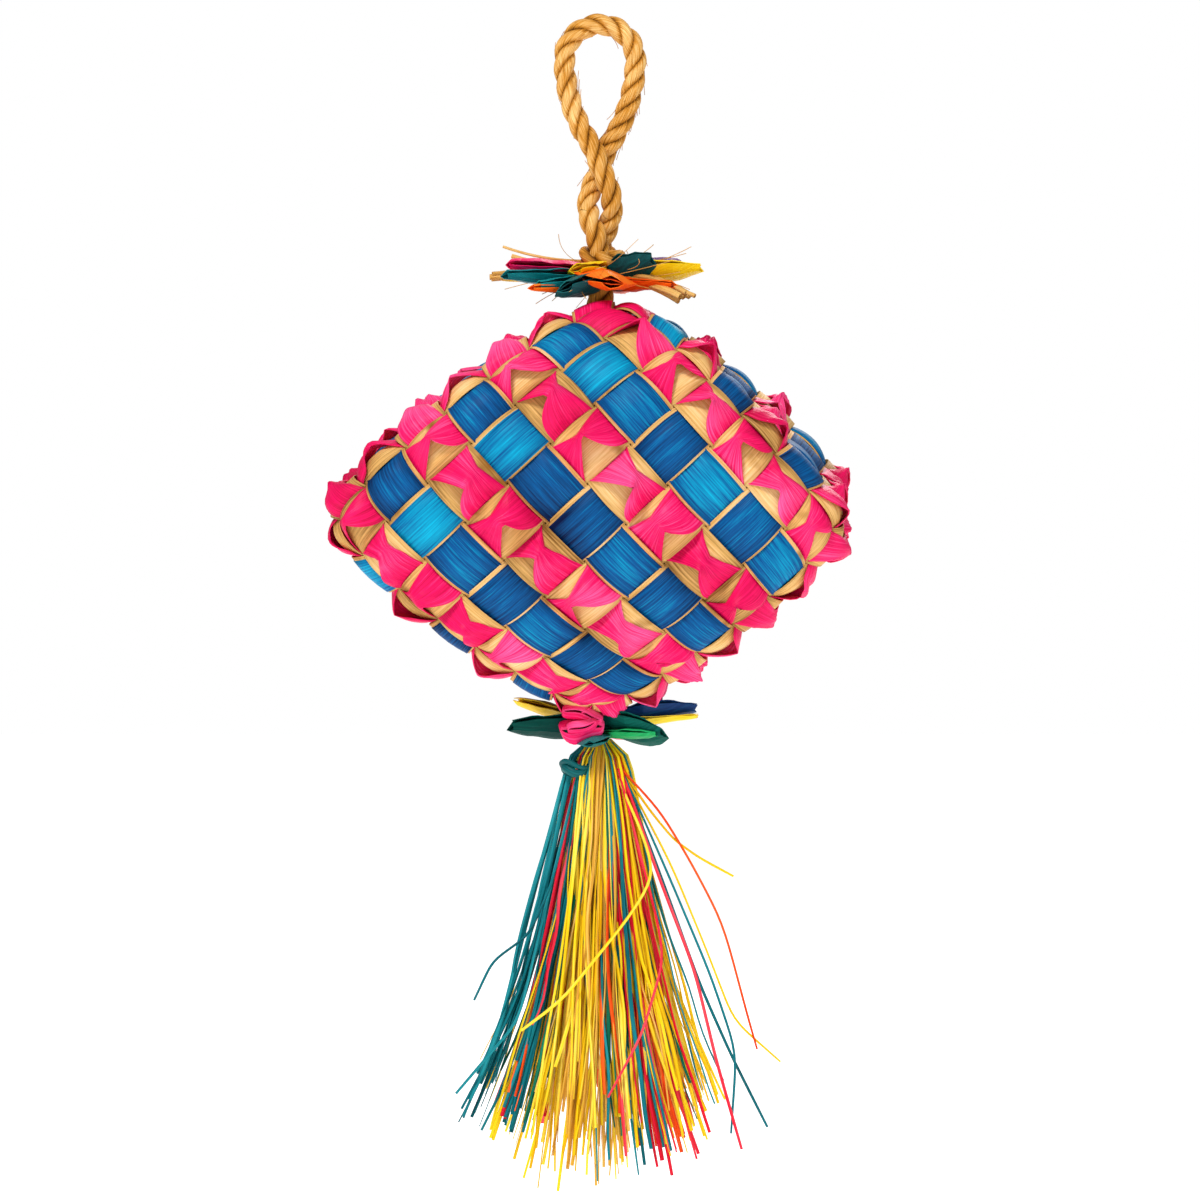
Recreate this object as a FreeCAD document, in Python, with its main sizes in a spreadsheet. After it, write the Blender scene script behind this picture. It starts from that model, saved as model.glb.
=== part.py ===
"""Hanging woven pinata: a palm-leaf basket on a rope loop, with two leaf flowers and a tassel.

Frame: +Z up. The hanging loop lies in the XZ plane, +X to its right, -Y towards the front. The
basket hangs turned a little to the left of that. The origin is the inside top of the hanging
loop, the point that rests on a hook. All sizes are in millimetres.

The basket is a 7 by 7 by 4 weave hung by a corner. Falling strips run from upper left to lower
right, rising strips from lower left to upper right, and rim strips round the edge between the
two faces. Each is a natural strip with a slightly narrower dyed strip on it, and each family is a
plain band in a layer of its own, one just outside the other, round the stuffed middle.
"""
import FreeCAD
import Part
import math
import os
import Sketcher

Vector = FreeCAD.Vector
X_AXIS, Y_AXIS, Z_AXIS = Vector(1, 0, 0), Vector(0, 1, 0), Vector(0, 0, 1)

doc = FreeCAD.newDocument("hanging_pinata")
sizes = doc.addObject("Spreadsheet::Sheet", "sizes")

DRIVING_SIZES = {
    # rope
    "rope_diameter": 8.0,
    "inner_cord_diameter": 10.0,
    "cord_clearance": 0.5,
    "knot_radius": 5.8,
    "knot_clearance": 1.6,
    # basket form, measured on the stuffed middle
    "form_half_width": 99.0,
    "form_half_height": 79.0,
    "form_half_depth": 43.0,
    "form_corner_round": 14.5,
    "form_tip_half_depth": 15.0,
    "face_turn": 57.3,
    "filling_gap": 0.3,
    "basket_turn": -4.0,
    # weave
    "strip_gap": 0.8,
    "natural_edge_showing": 1.0,
    "strip_thickness": 0.4,
    "layer_gap": 0.1,
    "rim_strip_gap": 0.04,
    # flowers
    "flower_tie_wall": 2.1,
    "petal_gap": 0.4,
    "petal_drop": 3.6,
    "petal_thickness": 3.4,
    "petal_tier_gap": 1.2,
    "petal_belly_radius": 18.0,
    "petal_root_width": 8.0,
    "petal_belly_width": 15.0,
    "top_petal_reach": 39.0,
    "bottom_petal_reach": 35.0,
    "sprig_diameter": 4.6,
    "sprig_reach": 42.0,
    "seat_gap": 1.4,
    # tassel
    "tassel_binding_height": 13.0,
    "tassel_binding_radius": 9.5,
    "tassel_top_radius": 10.0,
    "tassel_spread_radius": 50.0,
    "tassel_length": 146.5,
    "bundle_gap": 0.3,
}
for row, (alias, dimension) in enumerate(DRIVING_SIZES.items(), start=1):
    sizes.set(f"A{row}", str(dimension))
    sizes.setAlias(f"A{row}", alias)
doc.recompute()

STRIP_COUNT = 7
RIM_COUNT = 4
LAYER_COUNT = 6
CUTTER_SIZE = 400.0
PAST_THE_TIP = 1.04

# Sizes that follow from the driving ones, as expressions on the sheet.
FORM_SLANT = "sqrt(sizes.form_half_width ^ 2 + sizes.form_half_height ^ 2)"
FORM_REACH = f"(sizes.form_half_width * sizes.form_half_height / {FORM_SLANT})"
FORM_TIP = ("(sizes.form_half_height - sizes.form_corner_round"
            f" * ({FORM_SLANT} / sizes.form_half_width - 1))")
FORM_BULGE = "(sizes.form_half_depth - sizes.form_tip_half_depth)"
FACE_RADIUS = f"(({FORM_TIP} ^ 2 + {FORM_BULGE} ^ 2) / (2 * {FORM_BULGE}))"
LAYER_STEP = "(sizes.strip_thickness + sizes.layer_gap)"
STRIP_PITCH = (f"({FORM_REACH} * sizes.face_turn * pi / 180 / sin(sizes.face_turn)"
               f" / {STRIP_COUNT / 2})")
STRIP_WIDTHS = {
    "natural": f"({STRIP_PITCH} - sizes.strip_gap)",
    "dyed": f"({STRIP_PITCH} - sizes.strip_gap - 2 * sizes.natural_edge_showing)",
}
TIE_INNER = "(sizes.inner_cord_diameter / 2 + sizes.cord_clearance)"
TIE_OUTER = f"({TIE_INNER} + sizes.flower_tie_wall)"
PETAL_ROOT = f"({TIE_OUTER} + sizes.petal_gap)"
PETAL_STEP = "(sizes.petal_thickness + sizes.petal_tier_gap)"

nodes = []


def value(expression):
    """An expression on the sheet, as a plain number."""
    return float(sizes.evalExpression(expression))


def size(alias):
    """One driving dimension, as a plain number."""
    return value("sizes." + alias)


def node(piece, label=None):
    """Mark a document object as a finished piece, under its own name."""
    piece.Label = label or piece.Name
    nodes.append(piece)
    return piece


def placed(x, y, z, axis=Z_AXIS, degrees=0.0):
    return FreeCAD.Placement(Vector(x, y, z), FreeCAD.Rotation(axis, degrees))


# ---------------------------------------------------------------- rope tubes

LOOP_ROUTE = [
    (-2.6, -2.6, -43.6), (-6.4, -1.6, -38.0), (-10.9, 0.0, -28.0), (-13.6, 0.0, -16.0),
    (-13.8, 0.0, -4.1), (-5.7, 0.0, 4.0), (5.7, 0.0, 4.0), (13.8, 0.0, -4.1),
    (13.6, 0.0, -16.0), (10.9, 0.0, -28.0), (6.4, 1.6, -38.0), (2.6, 2.6, -43.6),
]
LEFT_LEG_ROUTE = [
    (0.4, -4.5, -52.0), (3.4, -3.8, -58.5), (5.0, -0.6, -65.5), (3.8, 3.2, -72.5), (0.4, 4.6, -79.4),
]
RIGHT_LEG_ROUTE = [(-x, -y, z) for x, y, z in LEFT_LEG_ROUTE]
ARC_SHARE = 0.45

# Heights, from the end of the twisted legs down to the ends of the tassel.
TOP_KNOT_HEIGHT = LEFT_LEG_ROUTE[-1][2] - size("knot_clearance") - size("knot_radius")
TOP_FLOWER_HEIGHT = TOP_KNOT_HEIGHT - size("petal_drop")
FLOWER_DEPTH = value(f"sizes.petal_thickness + {PETAL_STEP}")
BASKET_HALF_HEIGHT = value(f"{FORM_TIP} * (1 + {LAYER_COUNT} * {LAYER_STEP} / sizes.form_half_depth)")
BASKET_HEIGHT = TOP_FLOWER_HEIGHT - FLOWER_DEPTH - size("seat_gap") - BASKET_HALF_HEIGHT
BOTTOM_FLOWER_HEIGHT = BASKET_HEIGHT - BASKET_HALF_HEIGHT - size("seat_gap")
TASSEL_KNOT_HEIGHT = BOTTOM_FLOWER_HEIGHT - FLOWER_DEPTH - size("knot_clearance") - size("knot_radius")


def rounded_path(points):
    """Straight runs joined by tangent arcs, each as large as its two runs allow."""
    points = [Vector(*p) for p in points]
    edges, radii, start = [], [], points[0]
    for before, corner, after in zip(points, points[1:], points[2:]):
        back, ahead = (before - corner), (after - corner)
        reach = ARC_SHARE * min(back.Length, ahead.Length)
        half_turn = (math.pi - back.getAngle(ahead)) / 2
        radii.append(reach / math.tan(half_turn))
        back.normalize()
        ahead.normalize()
        arc_start, arc_end = corner + back * reach, corner + ahead * reach
        inward = (back + ahead).normalize()
        depth = radii[-1] * (1 / math.cos(half_turn) - 1)
        edges.append(Part.LineSegment(start, arc_start).toShape())
        edges.append(Part.Arc(arc_start, corner + inward * depth, arc_end).toShape())
        start = arc_end
    edges.append(Part.LineSegment(start, points[-1]).toShape())
    return Part.Wire(edges), radii


def rope_tube(label, route):
    """A tube of the rope's diameter along a route, with its volume checked against its length."""
    path, radii = rounded_path(route)
    spine = doc.addObject("Part::Feature", label + "_path")
    spine.Shape = path
    section = doc.addObject("Part::Circle", label + "_section")
    section.setExpression("Radius", "sizes.rope_diameter / 2")
    start, heading = Vector(*route[0]), Vector(*route[1]) - Vector(*route[0])
    section.Placement = FreeCAD.Placement(start, FreeCAD.Rotation(Z_AXIS, heading))
    tube = doc.addObject("Part::Sweep", label)
    tube.Sections = [section]
    tube.Spine = (spine, [f"Edge{n}" for n in range(1, len(path.Edges) + 1)])
    tube.Solid = True
    tube.Frenet = False
    doc.recompute()
    expected = math.pi / 4 * size("rope_diameter") ** 2 * path.Length
    print(f"{label}: length {path.Length:.1f}, smallest arc {min(radii):.1f},",
          f"volume {tube.Shape.Volume / expected:.4f} of section times length")
    return node(tube)


# ---------------------------------------------------------------- plain round pieces

def cylinder(label, radius, height, z):
    """A cylinder on the rope's axis. radius and height are expressions."""
    piece = doc.addObject("Part::Cylinder", label)
    piece.setExpression("Radius", radius)
    piece.setExpression("Height", height)
    piece.Placement = placed(0, 0, z)
    return piece


def knot(label, z):
    """A pulled-tight knot, plain and round, centred where the rope bends."""
    piece = doc.addObject("Part::Sphere", label)
    piece.setExpression("Radius", "sizes.knot_radius")
    piece.Placement = placed(0, 0, z)
    return node(piece)


def flower_tie(label, flower_top):
    """The wound leaf ring that holds a flower's darts round the rope."""
    base = flower_top - FLOWER_DEPTH
    height = f"sizes.petal_thickness + {PETAL_STEP} - sizes.petal_drop"
    outer = cylinder(label + "_outer", TIE_OUTER, height, base)
    hole = cylinder(label + "_hole", TIE_INNER, height, base)
    ring = doc.addObject("Part::Cut", label)
    ring.Base, ring.Tool = outer, hole
    return node(ring)


# ---------------------------------------------------------------- leaf darts

def plane_of(body, role):
    return next(feature for feature in body.Origin.OriginFeatures if feature.Role == role)


def leaf_dart(label, reach, top, azimuth):
    """One folded leaf dart: a flat kite that points away from the rope."""
    body = doc.addObject("PartDesign::Body", label)
    sketch = body.newObject("Sketcher::SketchObject", label + "_outline")
    sketch.AttachmentSupport = [(plane_of(body, "XY_Plane"), "")]
    sketch.MapMode = "FlatFace"
    root, belly = value(PETAL_ROOT), size("petal_belly_radius")
    half_root, half_belly = size("petal_root_width") / 2, size("petal_belly_width") / 2
    outline = [Vector(root, -half_root, 0), Vector(belly, -half_belly, 0), Vector(size(reach), 0, 0),
               Vector(belly, half_belly, 0), Vector(root, half_root, 0)]
    sides = [sketch.addGeometry(Part.LineSegment(a, b)) for a, b in zip(outline, outline[1:] + outline[:1])]
    for side, following in zip(sides, sides[1:] + sides[:1]):
        sketch.addConstraint(Sketcher.Constraint("Coincident", side, 2, following, 1))
    sketch.addConstraint(Sketcher.Constraint("PointOnObject", sides[1], 2, -1))
    sketch.addConstraint(Sketcher.Constraint("Symmetric", sides[0], 1, sides[4], 1, -1))
    sketch.addConstraint(Sketcher.Constraint("Symmetric", sides[0], 2, sides[2], 2, -1))
    dimensions = [
        ("DistanceX", sides[4], 1, PETAL_ROOT, root),
        ("DistanceX", sides[2], 2, "sizes.petal_belly_radius", belly),
        ("DistanceX", sides[1], 2, "sizes." + reach, size(reach)),
        ("DistanceY", sides[4], 1, "sizes.petal_root_width / 2", half_root),
        ("DistanceY", sides[2], 2, "sizes.petal_belly_width / 2", half_belly),
    ]
    for kind, line, point, expression, distance in dimensions:
        index = sketch.addConstraint(Sketcher.Constraint(kind, -1, 1, line, point, distance))
        sketch.setExpression(f"Constraints[{index}]", expression)
    pad = body.newObject("PartDesign::Pad", label + "_pad")
    pad.Profile = sketch
    pad.setExpression("Length", "sizes.petal_thickness")
    body.Placement = placed(0, 0, top - size("petal_thickness"), degrees=azimuth)
    return node(body)


def cut_sprigs(label, top, azimuths):
    """The two cut tufts of natural fibre that stick out of the top flower."""
    tufts = []
    for number, azimuth in enumerate(azimuths, start=1):
        tuft = doc.addObject("Part::Cylinder", f"{label}_{number}")
        tuft.setExpression("Radius", "sizes.sprig_diameter / 2")
        tuft.setExpression("Height", f"sizes.sprig_reach - {PETAL_ROOT}")
        outward = FreeCAD.Rotation(Z_AXIS, azimuth).multiply(FreeCAD.Rotation(Y_AXIS, 90))
        base = outward.multVec(Z_AXIS) * value(PETAL_ROOT)
        tuft.Placement = FreeCAD.Placement(base + Vector(0, 0, top), outward)
        tufts.append(tuft)
    group = doc.addObject("Part::Compound", label)
    group.Links = tufts
    return node(group)


# ---------------------------------------------------------------- basket

def basket_form():
    """The stuffed middle's outer form: a rounded diamond, thinner towards its top and bottom tips."""
    body = doc.addObject("PartDesign::Body", "diamond")
    sketch = body.newObject("Sketcher::SketchObject", "diamond_outline")
    sketch.AttachmentSupport = [(plane_of(body, "XZ_Plane"), "")]
    sketch.MapMode = "FlatFace"
    wide, tall = size("form_half_width"), size("form_half_height")
    corners = [Vector(wide, 0, 0), Vector(0, tall, 0), Vector(-wide, 0, 0), Vector(0, -tall, 0)]
    sides = [sketch.addGeometry(Part.LineSegment(a, b)) for a, b in zip(corners, corners[1:] + corners[:1])]
    for side, following in zip(sides, sides[1:] + sides[:1]):
        sketch.addConstraint(Sketcher.Constraint("Coincident", side, 2, following, 1))
    for side, axis in zip(sides, (-1, -2, -1, -2)):
        sketch.addConstraint(Sketcher.Constraint("PointOnObject", side, 1, axis))
    spans = [
        ("DistanceX", (-1, 1, sides[0], 1), "sizes.form_half_width", wide),
        ("DistanceX", (sides[2], 1, -1, 1), "sizes.form_half_width", wide),
        ("DistanceY", (-1, 1, sides[1], 1), "sizes.form_half_height", tall),
        ("DistanceY", (sides[3], 1, -1, 1), "sizes.form_half_height", tall),
    ]
    for kind, ends, expression, distance in spans:
        index = sketch.addConstraint(Sketcher.Constraint(kind, *ends, distance))
        sketch.setExpression(f"Constraints[{index}]", expression)
    pad = body.newObject("PartDesign::Pad", "diamond_pad")
    pad.Profile = sketch
    pad.setExpression("Length", "4 * sizes.form_half_depth")
    pad.Midplane = True
    doc.recompute()
    across = [f"Edge{n}" for n, edge in enumerate(pad.Shape.Edges, start=1)
              if abs(edge.tangentAt(edge.FirstParameter).dot(Y_AXIS)) > 0.99]
    rounding = body.newObject("PartDesign::Fillet", "diamond_corners")
    rounding.Base = (pad, across)
    rounding.setExpression("Radius", "sizes.form_corner_round")
    body.Tip = rounding

    length = 4 * wide
    faces = []
    for name, side in (("front_bulge", -1), ("back_bulge", 1)):
        bulge = doc.addObject("Part::Cylinder", name)
        bulge.setExpression("Radius", FACE_RADIUS)
        bulge.setExpression("Height", "4 * sizes.form_half_width")
        centre = side * (size("form_half_depth") - value(FACE_RADIUS))
        bulge.Placement = FreeCAD.Placement(Vector(-length / 2, centre, 0), FreeCAD.Rotation(Y_AXIS, 90))
        faces.append(bulge)
    form = doc.addObject("Part::MultiCommon", "basket_form")
    form.Shapes = [body] + faces
    return form


def form_layer(form, label, growth):
    """The form, swollen evenly until its faces stand `growth` further out. growth is an expression."""
    layer = doc.addObject("Part::Scale", label)
    layer.Base = form
    layer.Uniform = True
    layer.setExpression("UniformScale", f"1 + ({growth}) / sizes.form_half_depth")
    return layer


def leaf_shell(form, bore, label, level):
    """A thin shell of one strip's thickness round the form, open where the cord goes through."""
    inner = form_layer(form, label + "_inside", f"{level} * {LAYER_STEP}")
    outer = form_layer(form, label + "_outside", f"{level} * {LAYER_STEP} + sizes.strip_thickness")
    skin = doc.addObject("Part::Cut", label + "_skin")
    skin.Base, skin.Tool = outer, inner
    shell = doc.addObject("Part::Cut", label)
    shell.Base, shell.Tool = skin, bore
    return shell


def band_cutter(label, number, width, lean):
    """A slab across the basket that holds one strip. Slabs narrow where the face turns away."""
    wide, tall = size("form_half_width"), size("form_half_height")
    normal = Vector(lean * tall, 0, wide).normalize()
    along = Vector(wide, 0, -lean * tall).normalize()
    middle = (STRIP_COUNT + 1) / 2 - number
    half_cover = f"{width} / {STRIP_PITCH} / 2"
    low, high = (f"({FORM_REACH} * sin(({middle} {side} {half_cover}) / {STRIP_COUNT / 2} * sizes.face_turn)"
                 " / sin(sizes.face_turn))" for side in "-+")
    slab = doc.addObject("Part::Box", label)
    slab.Length = slab.Width = CUTTER_SIZE
    slab.setExpression("Height", f"{high} - {low}")
    corner = normal * value(low) - along * (CUTTER_SIZE / 2) - Y_AXIS * (CUTTER_SIZE / 2)
    slab.Placement = FreeCAD.Placement(corner, FreeCAD.Rotation(along, Y_AXIS, normal, "ZXY"))
    return slab


def rim_cutter(label, number, level):
    """A curved slab that holds one rim strip. Its sides close in towards the two tips."""
    depth, face_radius = size("form_half_depth"), value(FACE_RADIUS)
    growth = 1 + value(f"{level} * {LAYER_STEP} + sizes.strip_thickness") / depth
    end = PAST_THE_TIP * value(FORM_TIP) * growth
    end_depth = (depth - face_radius + math.sqrt(face_radius ** 2 - (end / growth) ** 2)) * growth
    gap = size("rim_strip_gap")
    low = -1 + (number - 1) * 2 / RIM_COUNT + gap
    high = -1 + number * 2 / RIM_COUNT - gap
    half_width = 2 * size("form_half_width")

    def side(share):
        bottom = Vector(-half_width, share * end_depth, -end)
        waist = Vector(-half_width, share * depth * growth, 0)
        return Part.Arc(bottom, waist, Vector(-half_width, share * end_depth, end)).toShape()

    low_side, high_side = side(low), side(high)
    closing = [Part.LineSegment(low_side.Vertexes[n].Point, high_side.Vertexes[n].Point).toShape()
               for n in (0, 1)]
    outline = Part.Wire(Part.__sortEdges__([low_side, high_side] + closing))
    cutter = doc.addObject("Part::Feature", label)
    cutter.Shape = Part.Face(outline).extrude(X_AXIS * 2 * half_width)
    return cutter


def band(label, shell, cutter):
    """One strip: the stretch of a shell inside its cutter, set at the basket's place."""
    strip = doc.addObject("Part::Common", label)
    strip.Base, strip.Tool = shell, cutter
    strip.Placement = placed(0, 0, BASKET_HEIGHT, degrees=size("basket_turn"))
    return strip


def woven_basket():
    form = basket_form()
    bore = cylinder("cord_bore", TIE_INNER, "4 * sizes.form_half_height", -2 * size("form_half_height"))
    filling_form = form_layer(form, "filling_form", "-sizes.filling_gap")
    filling = doc.addObject("Part::Cut", "fibre_filling")
    filling.Base, filling.Tool = filling_form, bore
    filling.Placement = placed(0, 0, BASKET_HEIGHT, degrees=size("basket_turn"))
    node(filling)

    families = [("falling", 1, 0), ("rising", -1, 2)]
    for family, lean, level in families:
        for offset, (leaf, width) in enumerate(STRIP_WIDTHS.items()):
            shell = leaf_shell(form, bore, f"{family}_{leaf}_shell", level + offset)
            for number in range(1, STRIP_COUNT + 1):
                label = f"{family}_strip_{number}_{leaf}"
                cutter = band_cutter(label + "_cutter", number, width, lean)
                node(band(label, shell, cutter))

    natural_shell = leaf_shell(form, bore, "rim_natural_shell", 4)
    dyed_shell = leaf_shell(form, bore, "rim_dyed_shell", 5)
    dyed = []
    for number in range(1, RIM_COUNT + 1):
        cutter = rim_cutter(f"rim_{number}_cutter", number, 4)
        node(band(f"rim_strip_{number}_natural", natural_shell, cutter))
        dyed_cutter = rim_cutter(f"rim_{number}_dyed_cutter", number, 5)
        dyed.append(band(f"rim_{number}_dyed", dyed_shell, dyed_cutter))
    for label, pair in (("rim_strips_pink", dyed[0::2]), ("rim_strips_blue", dyed[1::2])):
        group = doc.addObject("Part::Compound", label)
        group.Links = pair
        node(group)


# ---------------------------------------------------------------- flowers, cord and tassel

TOP_PETALS = {
    "upper": {"orange": -62, "dark_teal": 32, "purple": 118, "pink": 196},
    "lower": {"yellow": -14, "teal": 218},
}
BOTTOM_PETALS = {
    "upper": {"yellow": 150, "navy": 12},
    "lower": {"dark_green": 196, "pink": -100, "bright_green": -32},
}
SPRIG_AZIMUTHS = (-64, 166)


def flower(name, petals, reach, height):
    flower_tie(f"{name}_flower_tie", height)
    for tier, colours in enumerate(petals.values()):
        top = height - tier * value(PETAL_STEP)
        for colour, azimuth in colours.items():
            leaf_dart(f"{name}_petal_{colour}", reach, top, azimuth)


def inner_cord():
    """The rope's run through both flowers and the basket, from knot to knot."""
    reach = size("knot_radius") + size("cord_clearance")
    bottom = TASSEL_KNOT_HEIGHT + reach
    cord = doc.addObject("Part::Cylinder", "inner_cord")
    cord.setExpression("Radius", "sizes.inner_cord_diameter / 2")
    cord.Height = TOP_KNOT_HEIGHT - reach - bottom
    cord.Placement = placed(0, 0, bottom)
    print(f"inner_cord: length {cord.Height.Value:.1f}")
    return node(cord)


BUNDLE_COLOURS = ("yellow", "teal", "natural", "red")


def tassel():
    binding_base = (TASSEL_KNOT_HEIGHT - size("knot_radius") - size("cord_clearance")
                    - size("tassel_binding_height"))
    node(cylinder("tassel_binding", "sizes.tassel_binding_radius", "sizes.tassel_binding_height",
                  binding_base))
    bundle_bottom = binding_base - size("bundle_gap") - size("tassel_length")
    share = 360 / len(BUNDLE_COLOURS)
    for number, colour in enumerate(BUNDLE_COLOURS):
        bundle = doc.addObject("Part::Cone", f"tassel_bundle_{colour}")
        bundle.setExpression("Radius1", "sizes.tassel_spread_radius")
        bundle.setExpression("Radius2", "sizes.tassel_top_radius")
        bundle.setExpression("Height", "sizes.tassel_length")
        bundle.Angle = share
        middle = math.radians((number + 0.5) * share)
        apart = Vector(math.cos(middle), math.sin(middle), 0) * size("bundle_gap")
        bundle.Placement = FreeCAD.Placement(apart + Vector(0, 0, bundle_bottom),
                                             FreeCAD.Rotation(Z_AXIS, number * share))
        node(bundle)


# ---------------------------------------------------------------- assembly and files

rope_tube("hanging_loop", LOOP_ROUTE)
rope_tube("rope_leg_left", LEFT_LEG_ROUTE)
rope_tube("rope_leg_right", RIGHT_LEG_ROUTE)
knot("top_knot", TOP_KNOT_HEIGHT)
flower("top", TOP_PETALS, "top_petal_reach", TOP_FLOWER_HEIGHT)
cut_sprigs("top_flower_sprigs", TOP_FLOWER_HEIGHT - FLOWER_DEPTH + size("sprig_diameter") / 2,
           SPRIG_AZIMUTHS)
inner_cord()
woven_basket()
flower("bottom", BOTTOM_PETALS, "bottom_petal_reach", BOTTOM_FLOWER_HEIGHT)
knot("tassel_knot", TASSEL_KNOT_HEIGHT)
tassel()

doc.recompute()
for item in doc.Objects:
    if "Invalid" in item.State or "Error" in item.State:
        raise RuntimeError(f"{item.Name} did not build: {item.State}")
for piece in nodes:
    if piece.Shape.isNull() or not piece.Shape.isValid() or not piece.Shape.Solids:
        raise RuntimeError(f"{piece.Label} has no sound solid")

os.makedirs("parts", exist_ok=True)
for piece in nodes:
    piece.Shape.exportStep(f"parts/{piece.Label}.step")
print(f"{len(nodes)} pieces written; top knot {TOP_KNOT_HEIGHT:.1f}, basket {BASKET_HEIGHT:.1f},",
      f"tassel knot {TASSEL_KNOT_HEIGHT:.1f}, strip pitch {value(STRIP_PITCH):.1f}")
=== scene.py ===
"""Looks of the hanging woven pinata: a dyed palm-leaf basket, its rope, two leaf flowers and a tassel."""
import bpy
import bmesh
import math
import random
import numpy as np
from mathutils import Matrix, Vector


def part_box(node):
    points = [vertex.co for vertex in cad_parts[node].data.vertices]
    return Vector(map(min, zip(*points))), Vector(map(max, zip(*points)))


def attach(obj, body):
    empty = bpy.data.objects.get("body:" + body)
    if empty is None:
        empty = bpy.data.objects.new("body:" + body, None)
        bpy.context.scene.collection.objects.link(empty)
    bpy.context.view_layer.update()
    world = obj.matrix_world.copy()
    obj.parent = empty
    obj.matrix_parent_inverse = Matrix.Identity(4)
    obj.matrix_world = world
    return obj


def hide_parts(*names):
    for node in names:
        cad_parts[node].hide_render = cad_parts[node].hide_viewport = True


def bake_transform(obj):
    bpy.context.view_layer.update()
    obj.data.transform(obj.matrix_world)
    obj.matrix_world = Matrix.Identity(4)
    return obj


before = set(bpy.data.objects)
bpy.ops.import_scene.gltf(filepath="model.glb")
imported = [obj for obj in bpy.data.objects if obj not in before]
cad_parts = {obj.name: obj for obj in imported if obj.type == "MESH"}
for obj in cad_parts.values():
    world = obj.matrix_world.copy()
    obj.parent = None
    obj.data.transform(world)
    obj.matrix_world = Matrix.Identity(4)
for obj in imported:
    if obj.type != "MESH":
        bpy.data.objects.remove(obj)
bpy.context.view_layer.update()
scene = bpy.context.scene
scene.view_settings.view_transform = "Standard"

# ---------------------------------------------------------------- camera

# Level with the middle of the hanging pinata, and far enough off to see it all without much perspective.
camera_lens = bpy.data.cameras.new("camera")
camera_lens.sensor_width = 36
camera_lens.lens = 140.3
camera = bpy.data.objects.new("camera", camera_lens)
camera.location = (0, -1.8, -0.2175)
camera.rotation_euler = (math.pi / 2, 0, 0)
scene.collection.objects.link(camera)
scene.camera = camera


# ---------------------------------------------------------------- shared mesh tools

ROPE_DIAMETER = 0.008
# Painted shade in the grooves between a rope's strands: how far inside the rope's outer radius it grows to full
# strength, and how dark it gets.
GROOVE_DEPTH = 0.0018
GROOVE_PAINTED_SHADE = 0.34


def new_piece(name, bm, material, body=None, replaced=(), slot=None, wall=0.0, smooth=True):
    """A finished mesh as a piece of the object, riding on a body. A piece with a wall is a sheet, thickened inwards.
    replaced names the CAD nodes that it stands for. The slot argument is not used."""
    mesh = bpy.data.meshes.new(name)
    bm.to_mesh(mesh)
    bm.free()
    for polygon in mesh.polygons:
        polygon.use_smooth = smooth
    piece = bpy.data.objects.new(name, mesh)
    scene.collection.objects.link(piece)
    mesh.materials.append(material)
    if wall:
        thick = piece.modifiers.new("leaf_thickness", "SOLIDIFY")
        thick.thickness = wall
        thick.offset = -1
    if body:
        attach(piece, body)
    if replaced:
        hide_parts(*replaced)
    slot = slot or material.name.split(".")[0]
    return piece


def lay_grid(bm, places, along, across, tones=0.0):
    """A grid whose points go to their places, with its own UV map, in metres, and the tone of its finish, which can
    carry painted light and shade.
    """
    rows, columns = places.shape[0] - 1, places.shape[1] - 1
    uv_map = bm.loops.layers.uv.verify()
    tone_layer = bm.verts.layers.float.get("tone") or bm.verts.layers.float.new("tone")
    tones = np.broadcast_to(tones, places.shape[:2])
    made = bmesh.ops.create_grid(bm, x_segments=rows, y_segments=columns, size=1.0)["verts"]
    spot = {}
    for vert in made:
        i, j = round((vert.co.x + 1) / 2 * rows), round((vert.co.y + 1) / 2 * columns)
        spot[vert] = (i, j)
    for vert, (i, j) in spot.items():
        vert.co = places[i, j]
        vert[tone_layer] = tones[i, j]
    for face in {face for vert in made for face in vert.link_faces}:
        for loop in face.loops:
            i, j = spot[loop.vert]
            loop[uv_map].uv = (along[i, j], across[i, j])


def merged(bm):
    """The same mesh with the seams of its grids closed."""
    bmesh.ops.remove_doubles(bm, verts=bm.verts[:], dist=1e-6)
    return bm


def unit(vectors):
    """The same directions, one unit long."""
    return vectors / np.maximum(np.linalg.norm(vectors, axis=-1, keepdims=True), 1e-12)


def smooth_route(name, points):
    """Points along the NURBS line that has the route's points as its control points."""
    curve = bpy.data.curves.new(name, "CURVE")
    curve.dimensions = "3D"
    curve.resolution_u = 16
    spline = curve.splines.new("NURBS")
    spline.points.add(len(points) - 1)
    for control, point in zip(spline.points, points):
        control.co = (*point, 1)
    spline.order_u = 3
    spline.use_endpoint_u = True
    holder = bpy.data.objects.new(name, curve)
    scene.collection.objects.link(holder)
    bpy.context.view_layer.update()
    mesh = bpy.data.meshes.new_from_object(holder)
    line = np.array([v.co for v in mesh.vertices])
    bpy.data.objects.remove(holder)
    bpy.data.meshes.remove(mesh)
    return line


def spaced(line, step):
    """The same line with evenly spaced points, and each point's distance from its start."""
    run = np.r_[0, np.cumsum(np.linalg.norm(np.diff(line, axis=0), axis=1))]
    marks = np.linspace(0, run[-1], max(2, round(run[-1] / step)) + 1)
    return np.stack([np.interp(marks, run, line[:, k]) for k in range(3)], axis=1), marks


def carried_frames(line):
    """Two directions across a line that don't spin as it bends."""
    heading = unit(np.gradient(line, axis=0))
    side = np.cross(heading[0], (0, 1, 0) if abs(heading[0][1]) < 0.9 else (1, 0, 0))
    sides = []
    for direction in heading:
        side = unit(side - direction * (side @ direction))
        sides.append(side)
    sides = np.array(sides)
    return sides, np.cross(heading, sides)


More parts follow.
